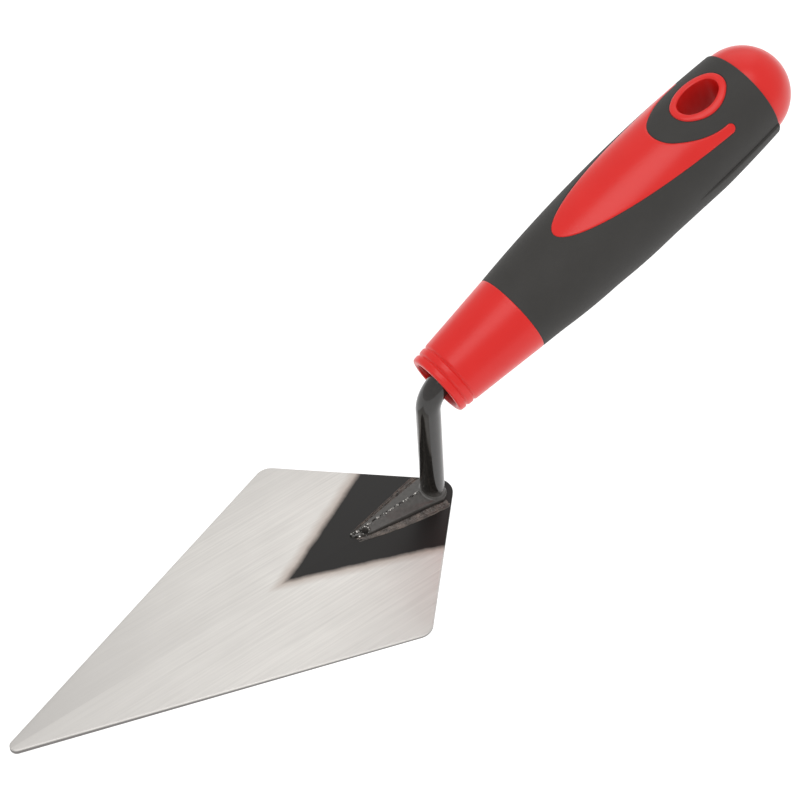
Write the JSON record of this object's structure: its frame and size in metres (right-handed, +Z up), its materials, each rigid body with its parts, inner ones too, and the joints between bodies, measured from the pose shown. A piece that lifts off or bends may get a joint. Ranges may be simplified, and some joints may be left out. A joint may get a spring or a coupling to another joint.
{
  "type": "pointing trowel",
  "caption": "Kite-bladed pointing trowel: flat ground steel blade, forged swan-neck tang and a soft-grip handle with a hang hole.",
  "frame": {"origin": "on the flat underside of the blade, straight below the root of the tang", "axes": "+X along the blade's middle line to its point, +Y across the blade, +Z up from the blade toward the handle"},
  "size_m": [0.2689, 0.0774, 0.107],
  "materials": {
    "ground_steel": "taper-ground and brushed, clear-lacquered",
    "black_lacquer": "glossy black sprayed lacquer over forged steel",
    "lacquered_weld": "weld metal under the same black lacquer",
    "red_plastic": "glossy injection-moulded plastic",
    "soft_grip": "matte thermoplastic elastomer"
  },
  "bodies": {
    "root": {"blade": "ground_steel", "tang": "black_lacquer", "weld_near": "lacquered_weld", "weld_far": "lacquered_weld", "handle_core": "red_plastic", "grip": "soft_grip"}
  },
  "joints": []
}
